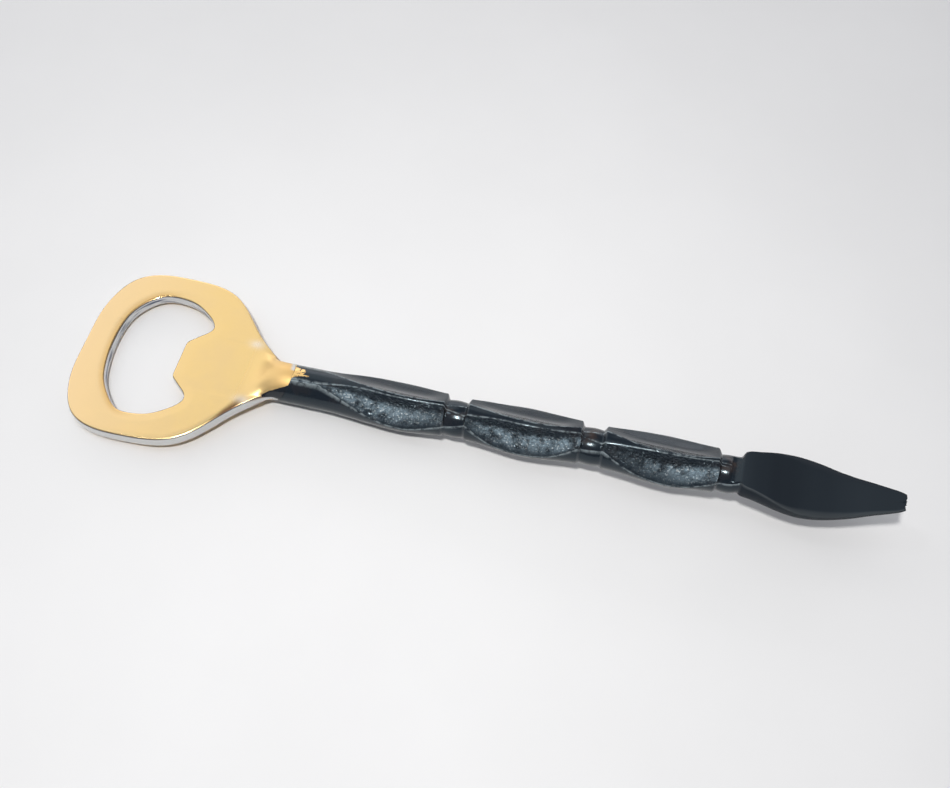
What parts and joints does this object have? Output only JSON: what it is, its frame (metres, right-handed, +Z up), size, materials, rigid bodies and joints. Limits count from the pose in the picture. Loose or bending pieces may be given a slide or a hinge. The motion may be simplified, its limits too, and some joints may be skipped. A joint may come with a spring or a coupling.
{
  "type": "souvenir bottle opener",
  "caption": "Hand-held crown cap opener: flat rounded metal head with a lipped opening on a long faceted carved handle with turned collars and a leaf tip.",
  "frame": {"origin": "on the table under the middle of the opener's box, as it lies at rest on the head's far edge and the neck's underside", "axes": "+X along the handle from the head towards the tip, +Z up, Y across the head"},
  "size_m": [0.1886, 0.045, 0.0167],
  "materials": {
    "gold_washed_metal": "polished plate, pale gold wash on the flat faces, bright nickel edges",
    "set_glue": "set amber epoxy glue, hidden in the bore",
    "black_lacquered_wood": "black gloss lacquer over hand-carved facets with fine tool marks"
  },
  "bodies": {
    "root": {"opener_head": "gold_washed_metal", "glue_sleeve": "set_glue", "handle": "black_lacquered_wood"}
  },
  "joints": []
}
